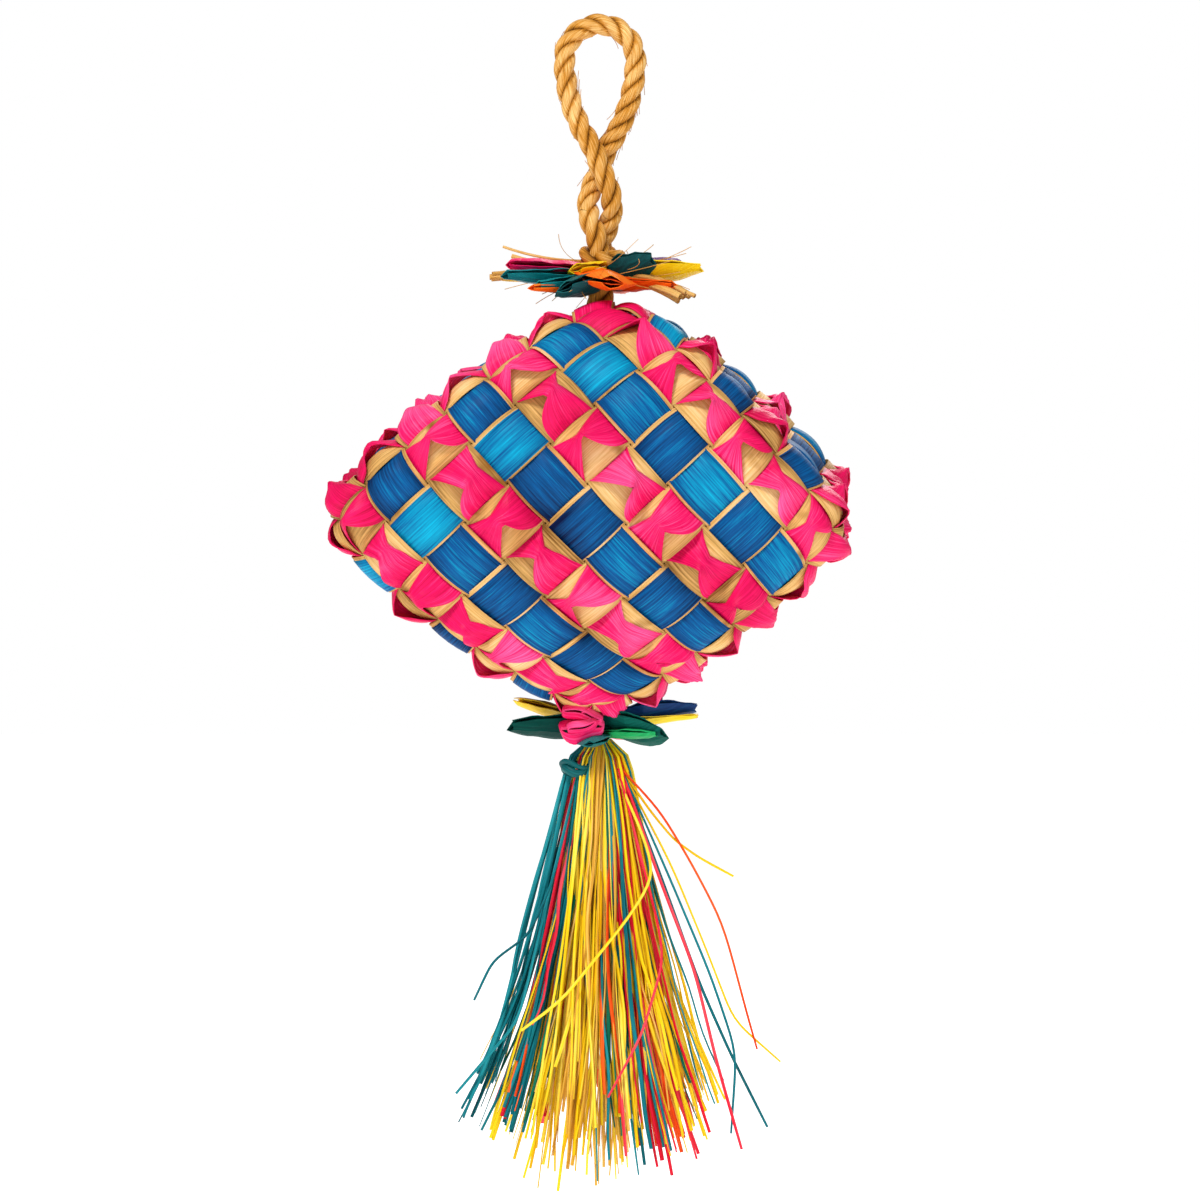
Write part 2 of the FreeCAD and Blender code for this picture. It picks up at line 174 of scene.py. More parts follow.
def lay_tube(bm, line, marks, radius, around=8, flat=1.0, turn=0.0, twist=0.0, phase=0.0, core=None, tone=0.0):
    """A tube along a line, open at its ends. radius may vary along it; flat squeezes it one way.
    Its colour carries painted shade that darkens it towards core, the line in the middle of the rope that it is part
    of, where the grooves between its strands lie."""
    sides, ups = carried_frames(line)
    ring = np.linspace(0, 2 * math.pi, around + 1)
    radius = np.broadcast_to(radius, len(line))
    angle = turn + twist * marks
    wide = sides * np.cos(angle)[:, None] + ups * np.sin(angle)[:, None]
    thin = -sides * np.sin(angle)[:, None] + ups * np.cos(angle)[:, None]
    places = (line[:, None] + radius[:, None, None] * (wide[:, None] * np.cos(ring)[None, :, None]
              + flat * thin[:, None] * np.sin(ring)[None, :, None]))
    along = np.repeat((marks + phase)[:, None], around + 1, axis=1)
    across = np.repeat(ring[None] * float(radius.max()), len(line), axis=0)
    tones = tone
    if core is not None:
        # Painted shade: the strand darkens where it dips in towards the rope's middle line, into the grooves.
        out = np.linalg.norm(places - core[:, None], axis=-1)
        tones = tone - GROOVE_PAINTED_SHADE * np.clip((ROPE_DIAMETER / 2 - out) / GROOVE_DEPTH, 0, 1)
    lay_grid(bm, places, along, across, tones)


# ---------------------------------------------------------------- finishes

def tint(code):
    """A colour code as linear light."""
    parts = [int(code[k:k + 2], 16) / 255 for k in (1, 3, 5)]
    return (*[p / 12.92 if p <= 0.04045 else ((p + 0.055) / 1.055) ** 2.4 for p in parts], 1.0)


def finish(name, dark, middle, light, grain=(45.0, 1500.0), roughness=0.5, relief=0.25, depth=0.0003,
           patch=26.0, patch_share=0.45, stain=None, crinkle=0.0, shine=0.11):
    """A dyed or plain fibre finish: fine streaks along the UV map's length, soft patches and a relief.
    stain is the colour of small spots; crinkle is the strength of coarse creases."""
    material = bpy.data.materials.new(name)
    material.use_nodes = True
    nodes, links = material.node_tree.nodes, material.node_tree.links
    shader = nodes["Principled BSDF"]
    shader.inputs["Roughness"].default_value = roughness
    shader.inputs["Specular IOR Level"].default_value = shine
    place = nodes.new("ShaderNodeTexCoord")
    along = nodes.new("ShaderNodeMapping")
    along.inputs["Scale"].default_value = (*grain, 1)
    links.new(place.outputs["UV"], along.inputs["Vector"])
    streaks = nodes.new("ShaderNodeTexNoise")
    streaks.inputs["Scale"].default_value = 1.0
    streaks.inputs["Detail"].default_value = 5.0
    streaks.inputs["Roughness"].default_value = 0.62
    links.new(along.outputs["Vector"], streaks.inputs["Vector"])
    patches = nodes.new("ShaderNodeTexNoise")
    patches.inputs["Scale"].default_value = patch
    patches.inputs["Detail"].default_value = 2.0
    links.new(place.outputs["Object"], patches.inputs["Vector"])
    share = nodes.new("ShaderNodeMix")
    share.data_type = "FLOAT"
    share.inputs["Factor"].default_value = patch_share
    links.new(streaks.outputs["Fac"], share.inputs["A"])
    links.new(patches.outputs["Fac"], share.inputs["B"])
    # The tone attribute shifts the colour lighter or darker: random tone from piece to piece, and the painted light
    # and shade laid into some meshes.
    tone = nodes.new("ShaderNodeAttribute")
    tone.attribute_name = "tone"
    shifted = nodes.new("ShaderNodeMath")
    shifted.operation = "ADD"
    links.new(share.outputs["Result"], shifted.inputs[0])
    links.new(tone.outputs["Fac"], shifted.inputs[1])
    ramp = nodes.new("ShaderNodeValToRGB")
    ramp.color_ramp.elements[0].position, ramp.color_ramp.elements[0].color = 0.30, tint(dark)
    ramp.color_ramp.elements[1].position, ramp.color_ramp.elements[1].color = 0.72, tint(light)
    centre = ramp.color_ramp.elements.new(0.5)
    centre.color = tint(middle)
    links.new(shifted.outputs["Value"], ramp.inputs["Fac"])
    colour = ramp.outputs["Color"]
    if stain:
        spots = nodes.new("ShaderNodeTexNoise")
        spots.inputs["Scale"].default_value = 60.0
        links.new(place.outputs["Object"], spots.inputs["Vector"])
        edge = nodes.new("ShaderNodeValToRGB")
        edge.color_ramp.elements[0].position, edge.color_ramp.elements[1].position = 0.64, 0.74
        links.new(spots.outputs["Fac"], edge.inputs["Fac"])
        mixed = nodes.new("ShaderNodeMix")
        mixed.data_type = "RGBA"
        links.new(edge.outputs["Color"], mixed.inputs["Factor"])
        links.new(colour, mixed.inputs["A"])
        mixed.inputs["B"].default_value = tint(stain)
        colour = mixed.outputs["Result"]
    links.new(colour, shader.inputs["Base Color"])
    bump = nodes.new("ShaderNodeBump")
    bump.inputs["Strength"].default_value = relief
    bump.inputs["Distance"].default_value = depth
    links.new(streaks.outputs["Fac"], bump.inputs["Height"])
    if crinkle:
        folds = nodes.new("ShaderNodeTexNoise")
        folds.inputs["Scale"].default_value = 170.0
        folds.inputs["Detail"].default_value = 3.0
        folds.inputs["Distortion"].default_value = 0.6
        links.new(place.outputs["Object"], folds.inputs["Vector"])
        creases = nodes.new("ShaderNodeBump")
        creases.inputs["Strength"].default_value = crinkle
        creases.inputs["Distance"].default_value = 0.0012
        links.new(folds.outputs["Fac"], creases.inputs["Height"])
        links.new(creases.outputs["Normal"], bump.inputs["Normal"])
    links.new(bump.outputs["Normal"], shader.inputs["Normal"])
    return material


natural_leaf = finish("natural_leaf", "#6C4214", "#DAA860", "#FFE0AA", relief=0.4, crinkle=0.2, stain="#8E5A1E")
pink_leaf = finish("pink_leaf", "#B00034", "#EE1260", "#FF74B4", roughness=0.45, crinkle=0.5)
blue_leaf = finish("blue_leaf", "#001038", "#00528E", "#00AACE", roughness=0.55, relief=0.3, crinkle=0.2,
                   patch_share=0.4)
teal_leaf = finish("teal_leaf", "#04444A", "#0A747A", "#2AA4A8", roughness=0.42, crinkle=0.25)
dark_teal_leaf = finish("dark_teal_leaf", "#043338", "#0A5558", "#1D7F7C", roughness=0.42, crinkle=0.25)
orange_leaf = finish("orange_leaf", "#D83C04", "#F4600C", "#FFA034", roughness=0.45, crinkle=0.25)
yellow_leaf = finish("yellow_leaf", "#DDA606", "#F7CF10", "#FFE64A", roughness=0.45, crinkle=0.25, stain="#B07A1A")
purple_leaf = finish("purple_leaf", "#3A1747", "#5C2A66", "#84518C", roughness=0.45, crinkle=0.25)
navy_leaf = finish("navy_leaf", "#0A1F4C", "#123A72", "#1F6A8E", roughness=0.42, crinkle=0.25)
dark_green_leaf = finish("dark_green_leaf", "#04302C", "#07483F", "#0F6A5C", roughness=0.55, crinkle=0.25,
                         shine=0.03)
bright_green_leaf = finish("bright_green_leaf", "#06703A", "#0A9450", "#25B86C", roughness=0.42, crinkle=0.25)
natural_rope = finish("natural_rope", "#4E2600", "#CA862A", "#FFDC96", grain=(160.0, 2600.0), roughness=0.6,
                      relief=0.7, depth=0.0005, patch=60.0, patch_share=0.3)
leaf_fibre = finish("leaf_fibre", "#7E5018", "#CC9444", "#F2CC86", grain=(90.0, 1800.0), roughness=0.6, relief=0.5)
tassel_yellow = finish("tassel_yellow", "#E2AC00", "#FFD81A", "#FFF078", grain=(30.0, 1500.0), patch=14.0)
tassel_teal = finish("tassel_teal", "#044650", "#0A747E", "#30A6AE", grain=(30.0, 1500.0), patch=14.0)
tassel_green = finish("tassel_green", "#043C30", "#0A6A52", "#24946E", grain=(30.0, 1500.0), patch=14.0)
tassel_natural = finish("tassel_natural", "#C0841C", "#EEB848", "#FFE094", grain=(30.0, 1500.0), patch=14.0)
tassel_red = finish("tassel_red", "#BA0A20", "#EC1C38", "#FF6470", grain=(30.0, 1500.0), patch=14.0)
tassel_orange = finish("tassel_orange", "#DE3C08", "#FA5A1A", "#FF9448", grain=(30.0, 1500.0), patch=14.0)


def set_tone(piece, tone):
    """Shifts a whole piece's finish lighter or darker."""
    layer = piece.data.attributes.get("tone") or piece.data.attributes.new("tone", "FLOAT", "POINT")
    start = np.zeros(len(piece.data.vertices), np.float32)
    layer.data.foreach_get("value", start)
    layer.data.foreach_set("value", start + np.float32(tone))


# ---------------------------------------------------------------- rope

LOOP_ROUTE = [
    (-0.0026, -0.0026, -0.0436), (-0.0064, -0.0016, -0.0380), (-0.0109, 0.0, -0.0280), (-0.0136, 0.0, -0.0160),
    (-0.0138, 0.0, -0.0041), (-0.0057, 0.0, 0.0040), (0.0057, 0.0, 0.0040), (0.0138, 0.0, -0.0041),
    (0.0136, 0.0, -0.0160), (0.0109, 0.0, -0.0280), (0.0064, 0.0016, -0.0380), (0.0026, 0.0026, -0.0436),
]
LEFT_LEG_ROUTE = [
    (0.0004, -0.0045, -0.0520), (0.0034, -0.0038, -0.0585), (0.0050, -0.0006, -0.0655),
    (0.0038, 0.0032, -0.0725), (0.0004, 0.0046, -0.0794),
]
RIGHT_LEG_ROUTE = [(-x, -y, z) for x, y, z in LEFT_LEG_ROUTE]
KNOT_ENTRY = (-0.0004, -0.0026, -0.0868)
STRAND_RADIUS = 0.00225
LAY_RADIUS = 0.00205
LAY_LENGTH = 0.0235
STRAND_TWIST = -260.0
ROPE_STEP = 0.0008


def laid_strands(line, marks):
    """The lines of a rope's three strands, laid round its own line."""
    sides, ups = carried_frames(line)
    angles = [2 * math.pi * (marks / LAY_LENGTH + strand / 3) for strand in range(3)]
    return [line + LAY_RADIUS * (sides * np.cos(angle)[:, None] + ups * np.sin(angle)[:, None]) for angle in angles]


def lay_rope(bm, line, marks, strands, tone=0.0):
    """The tubes of a rope's three strands."""
    for strand, centre in enumerate(strands):
        lay_tube(bm, centre, marks, STRAND_RADIUS, around=12, twist=STRAND_TWIST, phase=strand * 0.7,
                 core=line, tone=tone)


def rope_hairs(bm, line, count, seed):
    """Short loose fibres that stand off the rope."""
    hair_rng = random.Random(seed)
    for _ in range(count):
        start = hair_rng.randrange(8, len(line) - 24)
        reach = hair_rng.randrange(8, 20)
        stretch = line[start:start + reach]
        out = unit(np.array([hair_rng.gauss(0, 1), hair_rng.gauss(0, 0.6), hair_rng.gauss(0, 0.4)]))
        share = np.linspace(0, 1, reach)
        hair = stretch + out * (0.0036 + 0.0026 * share ** 2 * hair_rng.random())[:, None]
        lay_tube(bm, hair, np.linspace(0, ROPE_STEP * reach, reach), 0.00011, around=4)


left_seam = tuple((a + b) / 2 for a, b in zip(LEFT_LEG_ROUTE[2], LEFT_LEG_ROUTE[3]))
right_seam = tuple((a + b) / 2 for a, b in zip(RIGHT_LEG_ROUTE[2], RIGHT_LEG_ROUTE[3]))
left_end, right_end = [(-turn * KNOT_ENTRY[0], -turn * KNOT_ENTRY[1], KNOT_ENTRY[2]) for turn in (1, -1)]
whole_route = [left_end, *reversed(LEFT_LEG_ROUTE), *LOOP_ROUTE, *RIGHT_LEG_ROUTE, right_end]
rope_line, rope_marks = spaced(smooth_route("whole_rope", whole_route), ROPE_STEP)
rope_strands = laid_strands(rope_line, rope_marks)
left_cut, right_cut = (int(np.argmin(np.linalg.norm(rope_line - np.array(seam), axis=1)))
                       for seam in (left_seam, right_seam))
eye_line = rope_line[left_cut:right_cut + 1]


def lay_stretch(bm, first, last):
    """One stretch of the hanging rope, between two of its points."""
    part = slice(first, last + 1)
    lay_rope(bm, rope_line[part], rope_marks[part], [strand[part] for strand in rope_strands], tone=0.06)


bm = bmesh.new()
lay_stretch(bm, left_cut, right_cut)
rope_hairs(bm, eye_line, 110, 3)
rope_eye = new_piece("rope_eye", merged(bm), natural_rope,
                     replaced=("hanging_loop", "rope_leg_left", "rope_leg_right"))
lower_legs = []
for name, first, last in (("rope_lower_left", 0, left_cut), ("rope_lower_right", right_cut, len(rope_line) - 1)):
    bm = bmesh.new()
    lay_stretch(bm, first, last)
    lower_legs.append(new_piece(name, merged(bm), natural_rope))

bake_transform(rope_eye)
for leg in lower_legs:
    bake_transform(leg)


def knot_turn():
    """The rope's turn round itself, on top of the flower."""
    ring = np.linspace(0, 2 * math.pi * 1.35, 90)
    line = np.stack([0.0052 * np.cos(ring) + 0.0008, 0.0042 * np.sin(ring), -0.0862 - 0.0012 * np.sin(ring * 1.5)], 1)
    line, marks = spaced(line, ROPE_STEP)
    bm = bmesh.new()
    lay_rope(bm, line, marks, laid_strands(line, marks))
    new_piece("rope_knot", merged(bm), natural_rope, "knot", ("top_knot",))


knot_turn()


# ---------------------------------------------------------------- basket form

# The weave has 7 by 7 cells on each face and 4 rows of cells round the edge.
STRIP_PITCH = 0.0211
HALF_SPAN = 3.5 * STRIP_PITCH
FACE_RADIUS = 0.0870
HALF_DEPTH = 0.0440
TIP_HALF_DEPTH = 0.0190
EDGE_ROUND = 8.5
PULLED_ACROSS = (0.88, 1.00, -1.24, -0.44, 0.37, 2.95)
PULLED_DOWN = (1.58, -1.27, -0.56, 0.64, 0.55, 0.41)
TIP_REACH = HALF_SPAN * math.sqrt(2) * 2 ** (-1 / EDGE_ROUND)
BASKET_PLACE = np.array([-0.0015, 0.0, -0.1802])
BASKET_TURN, BASKET_ROLL, BASKET_TILT = (math.radians(a) for a in (-4.0, 2.0, 10.0))


def turned_by(a, b, angle):
    """Two coordinates turned by an angle, from the first towards the second."""
    return a * np.cos(angle) - b * np.sin(angle), a * np.sin(angle) + b * np.cos(angle)


def pulled(shares, p, q):
    """How far the weave is pulled out of true, in metres, at a place on the face. p runs to the right, q down."""
    shape = (1, p, q, p ** 2 - 0.6, p * q, q ** 2 - 0.6)
    return 0.001 * sum(share * part for share, part in zip(shares, shape))


def on_basket(u, v, w):
    """A point of the basket's skin. u runs down to the right, v down to the left, w from front to back."""
    shrink = (np.abs(u) ** EDGE_ROUND + np.abs(v) ** EDGE_ROUND + np.abs(w) ** EDGE_ROUND) ** (-1 / EDGE_ROUND)
    flush = 1 - 0.042 * (1 - w ** 2)
    right = HALF_SPAN * (u - v) * shrink * flush / math.sqrt(2)
    down = HALF_SPAN * (u + v) * shrink * flush / math.sqrt(2)
    bend, tip_bend = down / FACE_RADIUS, TIP_REACH / FACE_RADIUS
    depth = HALF_DEPTH - (HALF_DEPTH - TIP_HALF_DEPTH) * (1 - np.cos(bend)) / (1 - math.cos(tip_bend))
    y, z = w * shrink * depth, -FACE_RADIUS * np.sin(bend)
    y, z = turned_by(y, z, BASKET_TILT * np.clip(1 - (down / TIP_REACH) ** 2, 0, 1))
    z, x = turned_by(z, right, BASKET_ROLL)
    x, y = turned_by(x, y, BASKET_TURN)
    p, q = np.clip(right / HALF_SPAN, -1.25, 1.25), np.clip(down / HALF_SPAN, -1.25, 1.25)
    x, z = x + pulled(PULLED_ACROSS, p, q), z - pulled(PULLED_DOWN, p, q)
    return np.stack([x, y, z], axis=-1) + BASKET_PLACE


def face_path(family, number):
    """A strip round both faces: its way over the basket, s cells along and c cells aside of its middle line,
    and at which cells it goes over. It takes the front face, an edge, the back face and the other edge."""
    def path(s, c):
        s, beside = s % 22, (number - 4 + c) / 3.5
        run = np.where(s < 7, -1 + s / 3.5, np.where(s < 11, 1, np.where(s < 18, 1 - (s - 11) / 3.5, -1)))
        w = np.where(s < 7, -1, np.where(s < 11, -1 + (s - 7) / 2, np.where(s < 18, 1, 1 - (s - 18) / 2)))
        return (run, beside, w) if family == "falling" else (beside, run, w)
    odd = ([(i + number) % 2 == 1 for i in range(1, 8)] + [(number + k) % 2 == 1 for k in range(4)]
           + [(i + number) % 2 == 0 for i in range(7, 0, -1)] + [(number + k) % 2 == 1 for k in range(3, -1, -1)])
    return path, [crossing == (family == "falling") for crossing in odd]


def rim_path(number):
    """A strip round the edge, side by side with three more from front to back: its way and where it goes over."""
    k = number - 1

    def path(s, c):
        s, w = s % 28, -1 + (k + 0.5 + c) / 2
        u = np.where(s < 7, -1 + s / 3.5, np.where(s < 14, 1, np.where(s < 21, 1 - (s - 14) / 3.5, -1)))
        v = np.where(s < 7, -1, np.where(s < 14, -1 + (s - 7) / 3.5, np.where(s < 21, 1, 1 - (s - 21) / 3.5)))
        return u, v, w
    over = ([(i + k) % 2 == 1 for i in range(1, 8)] + [(n + k) % 2 == 0 for n in range(1, 8)]
            + [(i + k) % 2 == 1 for i in range(7, 0, -1)] + [(n + k) % 2 == 0 for n in range(7, 0, -1)])
    return path, over


def lifted(path, s, c, lift):
    """Points of a strip, a little off the basket's skin along its outward direction."""
    s, c = np.broadcast_arrays(s, c)
    step = 0.02

    def at(s, c):
        return on_basket(*np.broadcast_arrays(*path(s, c)))
    ahead = at(s + step, c) - at(s - step, c)
    aside = at(s, c + step) - at(s, c - step)
    place = at(s, c)
    out = unit(np.cross(ahead, aside))
    facing = np.sign(np.sum(out * (place - BASKET_PLACE), axis=-1, keepdims=True))
    return place + out * facing * np.asarray(lift)[..., None]


WEAVE_LIFT = 0.0019
DYED_LIFT = 0.00045
LEAF_THICKNESS = 0.00035
# The strips' widths, as shares of their pitch.
NATURAL_WIDTH, DYED_WIDTH = 0.985, 0.865


def weave_lift(s, over):
    """Each strip bows out over a crossing and in under the next."""
    sign = np.where(np.array(over)[np.floor(s).astype(int) % len(over)], 1.0, -1.0)
    return sign * np.sin(math.pi * (s % 1)) ** 0.85


def spike_fold(s, c, over, rng, kind, steps, heights):
    """The dyed strip's folded point at each cell it goes over: a narrow waist, a raised tip and a draped lip."""
    s, c, rise = s.copy(), c.copy(), np.zeros_like(s)
    turned, side, tall = kind
    for cell, on_top in enumerate(over):
        if not on_top or not heights[cell]:
            continue
        rows = slice(cell * steps, (cell + 1) * steps + 1)
        ridge = turned * rng.uniform(0.03, 0.25)
        low, tip = rng.uniform(-0.39, -0.22), rng.uniform(-0.17, 0.10) - 0.05 * turned
        height, lean = tall * heights[cell] * rng.uniform(0.74, 1.16), -turned * rng.uniform(0.0, 0.20)
        drape, twist = rng.uniform(0.6, 1.6), rng.uniform(-0.0012, 0.0012)
        local = s[rows] - cell - 0.5
        share = c[rows] / DYED_WIDTH * side + 0.5
        reach = np.where(local < ridge, (local + 0.5) / (ridge + 0.5), (0.5 - local) / (0.5 - ridge))
        reach = np.clip(reach, 0, 1)
        wide_panel = (local < ridge) == (turned > 0)
        pull = reach ** np.where(wide_panel, 1.0 + drape * share, 0.85)
        target = (low + (tip - low) * share) * side * DYED_WIDTH
        c[rows] = c[rows] + (target - c[rows]) * pull
        s[rows] = s[rows] + lean * pull * share
        swell = reach ** np.where(wide_panel, 0.75, 0.95)
        droop = np.where(wide_panel, 1 - 0.30 * share ** 3 * np.sin(math.pi * reach), 1)
        rise[rows] = (height * swell * droop * (0.16 + 0.84 * np.sin(share * math.pi / 2))
                      + twist * np.sin(share * 9 + local * 14) * reach)
    return s, c, rise


def woven_strip(name, path_and_over, width, base_lift, material, replaced, number, tone, spikes=None, heights=None,
                offset=0.0):
    """One strip right round the basket. spikes is its kind of folded points, if it has any, and heights how tall
    the point of each cell stands. offset moves it aside."""
    path, over = path_and_over
    steps = 14 if spikes else 10
    columns = 10 if spikes else 4
    s = np.repeat(np.linspace(0, len(over), len(over) * steps + 1)[:, None], columns + 1, axis=1)
    c = np.repeat(np.linspace(-0.5, 0.5, columns + 1)[None] * width, len(s), axis=0)
    along, across = s * STRIP_PITCH + number * 1.7, c * STRIP_PITCH + number * 0.31
    bow = weave_lift(s, over)
    c = c * (0.988 + 0.028 * bow) + offset
    camber = 0.0006 * np.clip(bow, 0, 1) * (1 - (2 * (c - offset) / width) ** 2)
    rise = 0
    if spikes:
        s, c, rise = spike_fold(s, c, over, random.Random(number * 17 + 5), spikes, steps, heights)
    lift = base_lift + WEAVE_LIFT * bow + camber + rise
    places = lifted(path, np.clip(s, 0.0, len(over) - 1e-6) if not spikes else s, c, lift)
    places[-1] = places[0]
    bm = bmesh.new()
    # Painted light and shade in the strip's tone: lighter where it bows out over a crossing, darker where it dives
    # under the next. The plain and blue strips are also darker towards their long edges: painted shade on the plain
    # strips, dye gathered at the edges of the blue ones.
    edge = np.abs(2 * (across - number * 0.31) / (width * STRIP_PITCH))
    lay_grid(bm, places, along, across, 0.05 * np.clip(bow, -1, 1) - 0.03 - (0.0 if spikes else 0.05) * edge ** 4)
    set_tone(new_piece(name, merged(bm), material, "basket", replaced, wall=LEAF_THICKNESS), tone)


# For each family of strips: the way its points turn, the side that they rise from, and how tall they stand.
FOLD_KINDS = {"rising": (1, 1, 0.0100), "falling": (-1, 1, 0.0098), "rim": (1, -1, 0.0050)}
RIM_HEIGHTS = [0.0] + [1.0] * 5 + [0.6] * 2 + [1.0] * 12 + [0.6] * 2 + [1.0] * 5 + [0.0]


def face_heights(number):
    """How tall each folded point of a strip stands: lower at the basket's edges, flat under the top flower and
    nearly flat over the bottom one."""
    edge = 0.66 if number in (1, 7) else 1.0
    face = [0.60] + [1.0] * 5 + [0.60]
    heights = [edge * share for share in face] + [0.5] * 4 + [edge * share for share in face] + [0.5] * 4
    if number == 1:
        heights[0] = 0.0
        heights[17:22] = [0.0] * 5
    if number == 7:
        heights[7:11] = [0.2] * 4
    return heights


BLUE_TONES = {("falling", 2): 0.03, ("falling", 4): -0.02, ("falling", 6): -0.03,
              ("rising", 2): 0.11, ("rising", 4): -0.07, ("rising", 6): -0.05}
BLUE_OFFSETS = {"falling": 0.008, "rising": 0.022}
tone_rng = random.Random(11)
for family, first_seed in (("falling", 0), ("rising", 20)):
    for number in range(1, 8):
        label, seed, path_and_over = f"{family}_strip_{number}", first_seed + number, face_path(family, number)
        woven_strip(f"{label}_plain", path_and_over, NATURAL_WIDTH, 0.0, natural_leaf, (label + "_natural",), seed,
                    tone_rng.uniform(-0.05, 0.05))
        if number % 2 == 1:
            woven_strip(f"{label}_pink", path_and_over, DYED_WIDTH, DYED_LIFT, pink_leaf, (label + "_dyed",), seed,
                        tone_rng.uniform(-0.04, 0.04), spikes=FOLD_KINDS[family], heights=face_heights(number))
        else:
            woven_strip(f"{label}_blue", path_and_over, DYED_WIDTH, DYED_LIFT, blue_leaf, (label + "_dyed",), seed,
                        BLUE_TONES[family, number], offset=BLUE_OFFSETS[family])

# The CAD has one node for both pink rim strips and one for both blue ones, and the first of each stands for it.
for number, colour, material, spikes, dyed_node in ((1, "pink", pink_leaf, FOLD_KINDS["rim"], ("rim_strips_pink",)),
                                                    (2, "blue", blue_leaf, None, ("rim_strips_blue",)),
                                                    (3, "pink", pink_leaf, FOLD_KINDS["rim"], ()),
                                                    (4, "blue", blue_leaf, None, ())):
    label = f"rim_strip_{number}"
    woven_strip(f"{label}_plain", rim_path(number), NATURAL_WIDTH, 0.0, natural_leaf, (label + "_natural",),
                40 + number, tone_rng.uniform(-0.05, 0.05))
    woven_strip(f"{label}_{colour}", rim_path(number), DYED_WIDTH, DYED_LIFT, material, dyed_node,
                40 + number, tone_rng.uniform(-0.03, 0.06), spikes=spikes, heights=RIM_HEIGHTS)


def stuffing():
    """The lumpy filling that holds the basket's sides out, just inside the weave."""
    bm = bmesh.new()
    bmesh.ops.create_cube(bm, size=2.0)
    bmesh.ops.subdivide_edges(bm, edges=bm.edges[:], cuts=27, use_grid_fill=True)
    box_places = np.array([v.co for v in bm.verts])
    skin = on_basket(box_places[:, 0], box_places[:, 1], box_places[:, 2])
    waves = np.sin(box_places @ np.array([[17, 5, 9], [6, 19, 4], [8, 3, 21]]).T)
    lumps = BASKET_PLACE + (skin - BASKET_PLACE) * (0.955 + 0.006 * waves.sum(axis=1))[:, None]
    for vert, place in zip(bm.verts, lumps):
        vert.co = place
    bmesh.ops.recalc_face_normals(bm, faces=bm.faces[:])
    filling = new_piece("fibre_stuffing", bm, leaf_fibre, "basket", ("fibre_filling",))


stuffing()


def inner_rope():
    """The rope through the basket. It is thicker than the eye's, because both of the eye's legs go down in it."""
    low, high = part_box("inner_cord")
    line, marks = spaced(np.array([[0, 0, high.z], [0, 0, low.z]]), ROPE_STEP)
    bm = bmesh.new()
    lay_rope(bm, line, marks, laid_strands(line, marks))
    growth = (high.x - low.x) / ROPE_DIAMETER
    for vert in bm.verts:
        vert.co.x *= growth
        vert.co.y *= growth
    new_piece("inner_rope", merged(bm), natural_rope, "basket", ("inner_cord",))


inner_rope()


# ---------------------------------------------------------------- leaf flowers

def leaf_dart(name, material, body, azimuth, reach, height, pitch, roll, width, thick, replaced, seed):
    """One dart folded from a strip: two leaf layers, joined at the far edge and open along the near one.
    It points away from the cord at its azimuth, pitches up and rolls about its length, in degrees."""
    dart_rng = random.Random(seed)
    near = 1 if 90 < azimuth % 360 < 270 else -1
    start = 0.004
    t = np.linspace(0, 1, 15)[:, None]
    outline = np.interp(t, [0, 0.34, 0.72, 0.97, 1], [0.66, 1.0, 0.78, 0.40, 0.32])
    body_thick = np.interp(t, [0, 0.30, 0.75, 1], [0.72, 1.0, 0.80, 0.55])
    section_y = np.array([1.02, 0.62, 0.16, -0.42, -1.0, -0.52, 0.08, 0.55, 0.94])[None] * near
    section_z = np.array([0.30, 0.66, 1.0, 0.62, 0.0, -0.62, -0.96, -0.70, -0.20])[None]
    waver = 0.10 * np.sin(t * 8 + dart_rng.uniform(0, 6)) + 0.05 * np.sin(t * 21 + dart_rng.uniform(0, 6))
    x = start + (reach - start) * t + 0.0016 * (1 - np.abs(section_z)) * t
    y = width / 2 * outline * section_y * (1 + 0.5 * waver)
    z = thick / 2 * body_thick * (section_z + waver * np.sign(section_z))
    bm = bmesh.new()
    # Painted light and shade: the outer layer is lighter on its top and darker underneath.
    lay_grid(bm, np.stack([x, y, z], axis=-1), x, y + z, 0.06 * section_z + 0 * t)
    # Painted shade: the inner layer, tucked inside the fold, is darker.
    inner_layer = slice(1, 8)
    x, y, z = x[:, inner_layer], y[:, inner_layer], z[:, inner_layer]
    lay_grid(bm, np.stack([x * 0.985, y * 0.90, z * 0.40], axis=-1), x + 0.4, y, -0.20)
    a, p, r = math.radians(azimuth), math.radians(pitch), math.radians(roll)
    ahead = Vector((math.cos(p), 0, math.sin(p)))
    left = Vector((0, math.cos(r), math.sin(r)))
    for vert in bm.verts:
        vx, vy, vz = vert.co
        place = ahead * vx + left * vy + ahead.cross(left) * vz
        vert.co = (*turned_by(place.x, place.y, a), place.z + height)
    piece = new_piece(name, merged(bm), material, body, replaced, wall=0.0003, smooth=False)
    set_tone(piece, dart_rng.uniform(-0.04, 0.08))


